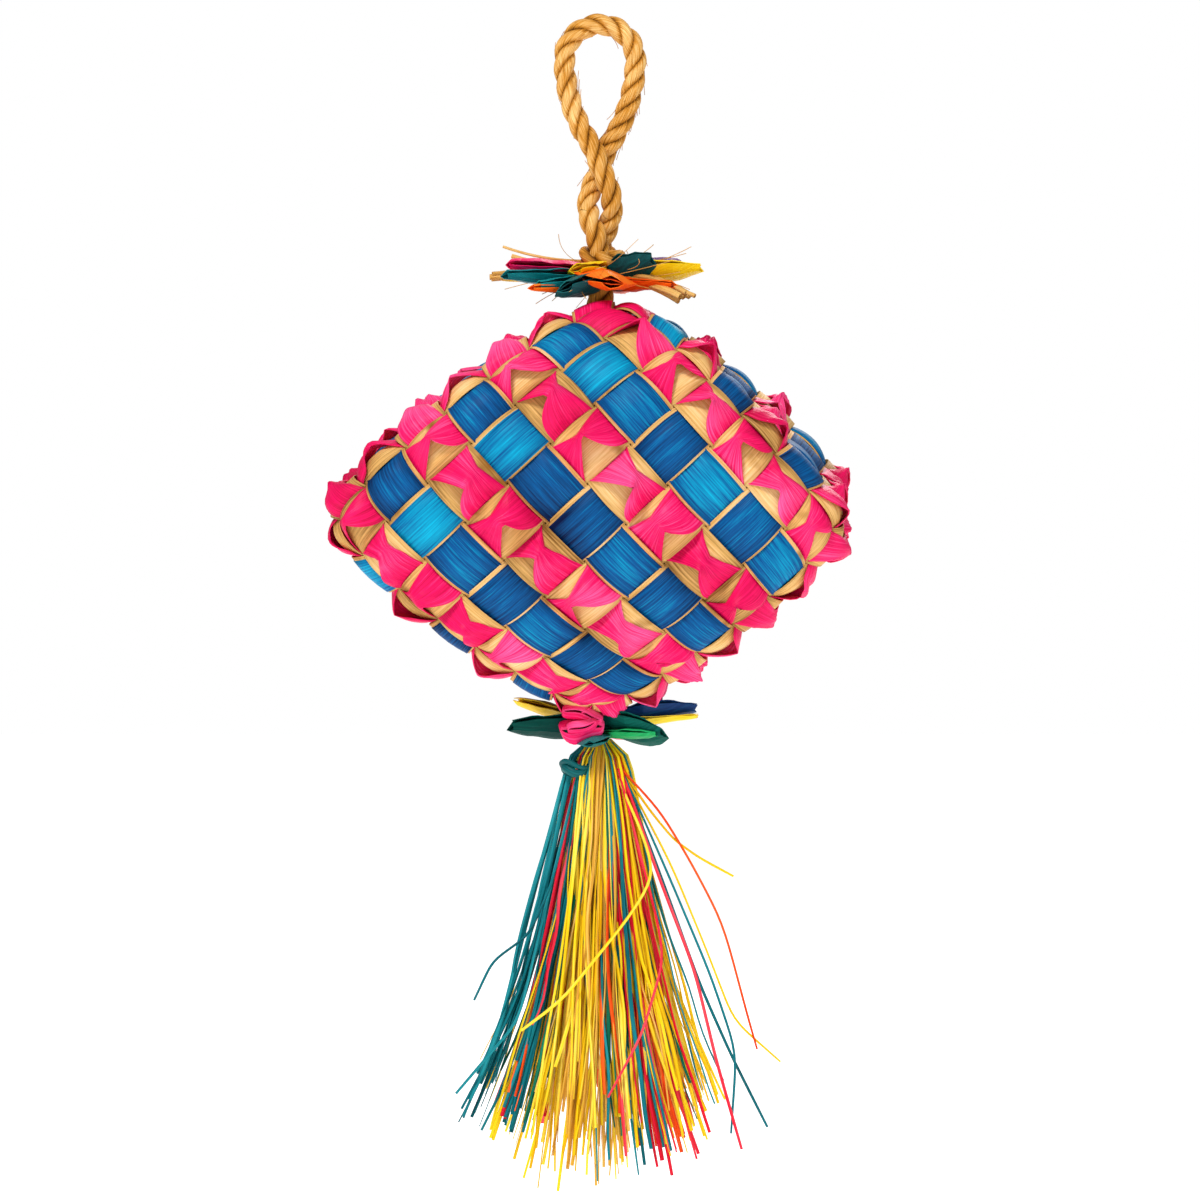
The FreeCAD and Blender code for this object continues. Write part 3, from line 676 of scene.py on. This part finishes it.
# Each dart: its name, finish, azimuth, reach, height, pitch, roll, width and thickness.
# The first darts of each flower stand for its CAD petals, and the rest are more leaves that fill the flower out.
TOP_PETALS = [
    ("orange", orange_leaf, -80, 0.027, -0.0932, -8, -6, 0.027, 0.0092),
    ("dark_teal", dark_teal_leaf, -34, 0.025, -0.0960, 19, -50, 0.016, 0.0058),
    ("purple", purple_leaf, 16, 0.0310, -0.0880, 3, 10, 0.014, 0.0042),
    ("pink", pink_leaf, 196, 0.0355, -0.0915, 4, 6, 0.013, 0.0066),
    ("yellow", yellow_leaf, -12, 0.0390, -0.0945, 6, -26, 0.018, 0.0056),
    ("teal", teal_leaf, 208, 0.0400, -0.0950, 2, 14, 0.016, 0.0060),
]
MORE_TOP_LEAVES = [
    ("front_teal", dark_teal_leaf, 243, 0.028, -0.0962, -5, 26, 0.021, 0.0070),
    ("low_orange", orange_leaf, -34, 0.033, -0.0962, -2, -14, 0.014, 0.0050),
    ("front_gold", yellow_leaf, -118, 0.0185, -0.0925, 4, 16, 0.016, 0.0064),
    ("back_red", orange_leaf, 76, 0.034, -0.0950, -2, 12, 0.015, 0.0052),
    ("back_teal", dark_teal_leaf, 122, 0.035, -0.0915, 3, 12, 0.016, 0.0056),
    ("back_yellow", yellow_leaf, 170, 0.038, -0.0935, 1, -12, 0.012, 0.0046),
    ("mid_teal", teal_leaf, 222, 0.031, -0.0966, -2, 20, 0.014, 0.0060),
    ("low_red", orange_leaf, 222, 0.034, -0.0982, -1, 8, 0.009, 0.0034),
]
BOTTOM_PETALS = [
    ("yellow", yellow_leaf, 160, 0.0345, -0.2652, 14, 14, 0.017, 0.0054),
    ("navy", navy_leaf, 10, 0.0370, -0.2640, 7, -42, 0.015, 0.0050),
    ("dark_green", dark_green_leaf, 198, 0.0350, -0.2670, 2, 30, 0.019, 0.0052),
    ("bright_green", bright_green_leaf, -40, 0.0280, -0.2690, 1, -10, 0.014, 0.0046),
]
MORE_BOTTOM_LEAVES = [
    ("right_green", dark_green_leaf, -38, 0.0300, -0.2660, -4, -38, 0.022, 0.0056),
    ("right_yellow", yellow_leaf, 6, 0.0370, -0.2662, 6, -20, 0.009, 0.0034),
    ("front_teal", dark_teal_leaf, 258, 0.0200, -0.2698, -7, 8, 0.013, 0.0044),
    ("back_green", dark_green_leaf, 98, 0.036, -0.2655, 0, 10, 0.017, 0.0054),
    ("back_pink", pink_leaf, 60, 0.034, -0.2685, -3, 12, 0.015, 0.0052),
]
for flower, petals, more_leaves, first_seed in (("top", TOP_PETALS, MORE_TOP_LEAVES, 1),
                                                ("bottom", BOTTOM_PETALS, MORE_BOTTOM_LEAVES, 41)):
    for number, (label, material, *place_and_size) in enumerate(petals):
        leaf_dart(f"{flower}_dart_{label}", material, f"{flower}_flower", *place_and_size,
                  (f"{flower}_petal_{label}",), first_seed + number)
    for number, (label, material, *place_and_size) in enumerate(more_leaves):
        leaf_dart(f"{flower}_dart_{label}", material, f"{flower}_flower", *place_and_size,
                  (), first_seed + 20 + number)


def pink_rosette():
    """The bud at the front of the bottom flower: a pink strip folded into flat rolls, pinched to open slits."""
    bm = bmesh.new()
    rolls = ((0.0086, 0.0052, -0.0022, 0.0, 0.10), (0.0080, 0.0034, 0.0036, -0.0022, -0.24),
             (0.0060, 0.0030, -0.0012, -0.0030, 0.34))
    for turn, (wide, tall, up, ahead, lean) in enumerate(rolls):
        angle = np.linspace(0, 2 * math.pi, 33)[:, None]
        level = np.linspace(0, 1, 11)[None]
        pinch = np.interp(level, [0, 0.4, 0.7, 0.88, 1], [0.75, 1.0, 0.92, 0.55, 0.16])
        narrow = np.interp(level, [0, 0.4, 0.85, 1], [0.80, 1.0, 0.98, 0.90])
        across, upward = np.cos(angle), np.sin(angle)
        square = (np.abs(across) ** 3 + np.abs(upward) ** 3) ** (-1 / 3) * (1 + 0.05 * np.sin(3 * angle + turn))
        x = wide * square * narrow * across
        z = tall * square * pinch * upward + 0.0007 * np.sin(x * 420 + turn * 2)
        x, z = turned_by(x, z, lean)
        y = -0.0080 - 0.0080 * level + ahead + 0.0008 * np.sin(angle + turn * 2)
        # Painted light and shade: each roll is lighter on its top and darker underneath.
        lay_grid(bm, np.stack([x - 0.0069, y, z + up - 0.2645], axis=-1),
                 angle * 0.005 + turn + 0 * level, level * 0.009 + 0 * angle, 0.05 * np.sin(angle) + 0 * level)
    new_piece("bottom_rosette_pink", merged(bm), pink_leaf, "bottom_flower", ("bottom_petal_pink",), wall=0.0003)


pink_rosette()


def wound_tie(name, material, body, node):
    """A leaf strip wound round the rope to hold the darts."""
    low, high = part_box(node)
    middle, inner = (low + high) / 2, 0.0054
    angle = np.linspace(0, 2 * math.pi, 41)[:, None]
    level = np.linspace(0, 1, 13)[None]
    radius = inner + 0.0019 * np.sin(math.pi * level) ** 0.5 + 0.0002 * np.sin(level * 18 + angle)
    z = low.z + (high.z - low.z) * level + 0 * angle
    bm = bmesh.new()
    lay_grid(bm, np.stack([middle.x + radius * np.cos(angle), middle.y + radius * np.sin(angle), z], -1),
             angle * inner + 0 * level, z)
    new_piece(name, merged(bm), material, body, (node,), wall=0.0004)


wound_tie("top_flower_winding", dark_teal_leaf, "top_flower", "top_flower_tie")
wound_tie("bottom_flower_winding", dark_green_leaf, "bottom_flower", "bottom_flower_tie")


def fibre_sprigs():
    """Cut tufts of natural fibre, and a few hair-thin shreds that curl away from them."""
    bm = bmesh.new()
    sprig_rng = random.Random(8)
    tufts = ((184, 9, 5, -0.0915, -0.0005, 1.15), (-26, 9, 5, -0.0925, -0.0080, 1.5), (166, 2, 3, -0.0890, 0.005, 1.0))
    for azimuth, count, spread, height, fall, girth in tufts:
        for _ in range(count):
            a = math.radians(azimuth + sprig_rng.gauss(0, spread))
            reach = sprig_rng.uniform(0.034, 0.043)
            t = np.linspace(0, 1, 9)
            droop = fall + sprig_rng.uniform(-0.0025, 0.0025)
            out = 0.005 + (reach - 0.005) * t
            z = height + sprig_rng.uniform(-0.0022, 0.0022) + droop * t ** 2
            lay_tube(bm, np.stack([math.cos(a) * out, math.sin(a) * out, z], 1), t * reach,
                     girth * sprig_rng.uniform(0.0005, 0.0010), around=6)
    for _ in range(26):
        a = sprig_rng.uniform(0, 2 * math.pi)
        reach = sprig_rng.uniform(0.020, 0.040)
        t = np.linspace(0, 1, 13)
        bend = sprig_rng.uniform(-0.9, 0.9)
        x, y = reach * t * np.cos(a + bend * t), reach * t * np.sin(a + bend * t)
        z = -0.0915 + sprig_rng.uniform(-0.005, 0.003) + sprig_rng.uniform(-0.012, 0.010) * t ** 2
        lay_tube(bm, np.stack([x, y, z], 1), t * reach, 0.00014, around=4)
    set_tone(new_piece("top_flower_fibres", merged(bm), leaf_fibre, "top_flower", ("top_flower_sprigs",)), 0.06)


fibre_sprigs()


# ---------------------------------------------------------------- tassel

TASSEL_TOP = -0.2712
# How far down the longest strands may reach, in mm.
TASSEL_END = -443.0


def strand_tube(bm, line, half, strand_rng, flat=0.36):
    """One flat shredded strand along a line, cut off square."""
    run = np.r_[0, np.cumsum(np.linalg.norm(np.diff(line, axis=0), axis=1))]
    taper = half * np.interp(run / run[-1], [0, 0.08, 0.9, 1], [0.8, 1, 0.95, 0.8])
    lay_tube(bm, line, run, taper, around=5, flat=flat, turn=strand_rng.uniform(0, 3.1),
             twist=strand_rng.uniform(-14, 14), phase=strand_rng.uniform(0, 9), tone=strand_rng.uniform(-0.12, 0.10))


def tassel_strands(name, material, seed, locks, strays=(), replaced=(), slot=None, width=(0.0005, 0.0010)):
    """Loose strands of one colour. Each lock is (strands, end across, end towards the back, lowest end), in mm.
    Each stray is the places its strand passes, in mm: across, towards the back, and down from the hanging ring."""
    strand_rng = random.Random(seed)
    bm = bmesh.new()
    t = np.linspace(0, 1, 23)
    for count, across, back, bottom in locks:
        lock_turn = strand_rng.uniform(0, 6)
        for _ in range(count):
            end = np.array([across, back]) + [strand_rng.gauss(0, 4.5), strand_rng.gauss(0, 4.0)]
            side = math.atan2(end[1], end[0]) + strand_rng.gauss(0, 0.75)
            root = strand_rng.uniform(1.5, 9.0) * np.array([math.cos(side), math.sin(side)])
            opening = 0.42 * t ** 0.5 + 0.58 * t ** 2.1
            low = max(bottom + strand_rng.gauss(0, 5.0) + strand_rng.expovariate(0.16), TASSEL_END)
            gathered = 1 - 0.52 * np.exp(-t / 0.03)
            flat_end = root * gathered[:, None] + (end - root) * opening[:, None]
            wave = (strand_rng.uniform(0.6, 3.4) * np.sin(t * strand_rng.uniform(4, 10) + strand_rng.uniform(0, 6))
                    + 1.2 * np.sin(t * 6 + lock_turn)
                    + strand_rng.uniform(0, 0.7) * np.sin(t * 23 + lock_turn)) * t ** 0.8
            sway = strand_rng.uniform(0, 6.28)
            z = TASSEL_TOP + (low / 1000 - TASSEL_TOP) * t
            line = np.stack([flat_end[:, 0] + wave * math.cos(sway), flat_end[:, 1] + wave * math.sin(sway),
                             z * 1000], 1)
            strand_tube(bm, line / 1000, strand_rng.uniform(*width), strand_rng)
    for places in strays:
        places = np.array(places, float)
        steps = np.linspace(0, len(places) - 1, 33)
        line = np.stack([np.interp(steps, range(len(places)), places[:, k]) for k in range(3)], 1)
        for _ in range(5):
            line[1:-1] = 0.25 * line[:-2] + 0.5 * line[1:-1] + 0.25 * line[2:]
        line[:, 2] *= -1
        strand_tube(bm, line / 1000, strand_rng.uniform(0.00055, 0.00075), strand_rng, flat=0.8)
    new_piece(name, merged(bm), material, "tassel", replaced, slot)


tassel_strands("tassel_strands_yellow", tassel_yellow, 101, (
    (8, -37, -10, -424), (14, -23, -20, -432), (20, -9, -26, -430), (18, 10, -26, -428), (17, 28, -18, -424),
    (12, 40, -2, -414), (10, 37, 14, -420), (12, 20, 24, -428), (13, -4, 26, -430), (12, -26, 18, -424),
    (9, -40, 5, -416)),
    strays=(((6, -6, 284), (16, -16, 306), (21, -22, 322), (11, -26, 338), (-3, -27, 355), (-14, -26, 369),
             (-30, -24, 381)),
            ((8, -5, 282), (19, -10, 298), (28, -12, 309), (38, -14, 316), (51, -14, 323)),
            ((8, -5, 282), (27, -12, 318), (41, -14, 352), (51, -14, 378), (69, -12, 394)),
            ((-3, -8, 282), (-10, -18, 350), (-11, -22, 402), (-16, -24, 442)),
            ((-6, -8, 282), (-13, -18, 350), (-19, -22, 402), (-29, -24, 437))),
    replaced=("tassel_bundle_yellow",))
tassel_strands("tassel_strands_natural", tassel_natural, 102, (
    (18, -14, -22, -428), (20, 1, -24, -432), (10, 20, -12, -424), (12, 30, 8, -418), (14, 8, 18, -428),
    (12, -16, 14, -424)),
    replaced=("tassel_bundle_natural",), width=(0.0004, 0.0009))
tassel_strands("tassel_strands_teal", tassel_teal, 103, (
    (17, -46, -8, -420), (16, -34, -14, -418), (3, -3, -26, -430), (6, 16, -25, -432), (2, 44, -10, -412),
    (5, 10, 27, -424), (5, 36, 18, -418), (5, -36, 16, -420)),
    strays=(((-8, -6, 282), (-18, -14, 325), (-27, -18, 345), (-41, -18, 355), (-48, -18, 370)),
            ((-8, -6, 282), (-22, -14, 340), (-31, -16, 378), (-44, -16, 393), (-55, -14, 406)),
            ((8, -6, 282), (24, -14, 325), (38, -16, 364), (50, -14, 391), (64, -12, 419)),
            ((8, -6, 282), (26, -16, 322), (42, -18, 360), (52, -18, 390), (50, -16, 421))),
    replaced=("tassel_bundle_teal", "tassel_binding"), width=(0.0006, 0.0012))
tassel_strands("tassel_strands_green", tassel_green, 104, (
    (5, -26, -16, -414), (4, 8, -24, -424), (4, 33, -8, -416), (6, 18, 20, -418), (6, -20, 22, -418)),
    slot="tassel_teal")
tassel_strands("tassel_strands_red", tassel_red, 105, (
    (8, -34, -14, -414), (12, 23, -22, -432), (7, 34, -12, -424), (6, 26, 18, -420), (7, -18, 22, -420)),
    strays=(((8, -6, 282), (22, -16, 322), (36, -18, 358), (44, -18, 392), (54, -16, 427)),
            ((7, -8, 282), (25, -20, 352), (16, -26, 382), (3, -28, 406))),
    replaced=("tassel_bundle_red",), width=(0.0006, 0.0012))
tassel_strands("tassel_strands_orange", tassel_orange, 106, (
    (5, -28, -18, -416), (6, 27, -18, -428), (3, 12, -26, -410), (5, 0, 26, -418)),
    strays=(((8, -6, 282), (23, -14, 298), (35, -16, 318), (47, -16, 341), (56, -14, 375), (60, -14, 389)),),
    slot="tassel_red")


def rope_end_knot():
    bm = bmesh.new()
    size = 0.0033
    angle = np.linspace(0, 2 * math.pi, 60)
    for turn in range(3):
        tilt = turn * 1.05
        line = np.stack([size * np.cos(angle), size * np.sin(angle) * math.cos(tilt),
                         -0.2770 + size * np.sin(angle) * math.sin(tilt)], 1)
        lay_tube(bm, line, angle * size, 0.0021, around=10, phase=turn)
    new_piece("rope_end_knot", merged(bm), natural_rope, "tassel_link", ("tassel_knot",))


def teal_tie():
    """The teal strip tied into the tassel's top, beside the knot."""
    bm = bmesh.new()
    angle = np.linspace(0, 2 * math.pi, 49)
    for turn in range(2):
        line = np.stack([-0.0097 + 0.0044 * np.cos(angle), -0.0060 + 0.0040 * np.sin(angle),
                         -0.2806 - 0.0022 * turn + 0.0012 * np.sin(angle * 2 + turn)], 1)
        lay_tube(bm, line, angle * 0.004, 0.0017, around=8, flat=0.6)
    new_piece("teal_tie", merged(bm), dark_teal_leaf, "tassel")


rope_end_knot()
teal_tie()


# ---------------------------------------------------------------- floor and light

floor_mesh = bpy.data.meshes.new("floor")
bm = bmesh.new()
bmesh.ops.create_grid(bm, x_segments=1, y_segments=1, size=8.0)
bmesh.ops.translate(bm, verts=bm.verts[:], vec=(0, 0, -0.50))
bm.to_mesh(floor_mesh)
bm.free()
floor = bpy.data.objects.new("floor", floor_mesh)
scene.collection.objects.link(floor)
paper = bpy.data.materials.new("pale_paper")
paper.use_nodes = True
paper.node_tree.nodes["Principled BSDF"].inputs["Base Color"].default_value = (0.93, 0.93, 0.93, 1)
paper.node_tree.nodes["Principled BSDF"].inputs["Roughness"].default_value = 0.9
paper.node_tree.nodes["Principled BSDF"].inputs["Emission Color"].default_value = (1, 1, 1, 1)
paper.node_tree.nodes["Principled BSDF"].inputs["Emission Strength"].default_value = 0.78
floor_mesh.materials.append(paper)

world = bpy.data.worlds.new("studio")
scene.world = world
world.use_nodes = True
sky, wires = world.node_tree.nodes, world.node_tree.links
sky["Background"].inputs["Color"].default_value = (1, 1, 1, 1)
sky["Background"].inputs["Strength"].default_value = 0.33
backdrop = sky.new("ShaderNodeBackground")
backdrop.inputs["Color"].default_value = (1, 1, 1, 1)
seen = sky.new("ShaderNodeLightPath")
either = sky.new("ShaderNodeMixShader")
wires.new(seen.outputs["Is Camera Ray"], either.inputs["Fac"])
wires.new(sky["Background"].outputs["Background"], either.inputs[1])
wires.new(backdrop.outputs["Background"], either.inputs[2])
wires.new(either.outputs["Shader"], sky["World Output"].inputs["Surface"])

SOFT_LIGHTS = (("soft_key", (-0.50, -1.15, 1.15), 0.40, 25.0), ("soft_fill", (1.4, -1.2, 0.2), 1.0, 3.0),
               ("soft_back", (0.5, 1.6, 0.8), 0.8, 12.0))
for name, place, size, power in SOFT_LIGHTS:
    light = bpy.data.lights.new(name, "AREA")
    light.size, light.energy = size, power
    lamp = bpy.data.objects.new(name, light)
    lamp.location = place
    lamp.rotation_euler = (Vector((0, 0, -0.2)) - Vector(place)).to_track_quat("-Z", "Y").to_euler()
    scene.collection.objects.link(lamp)
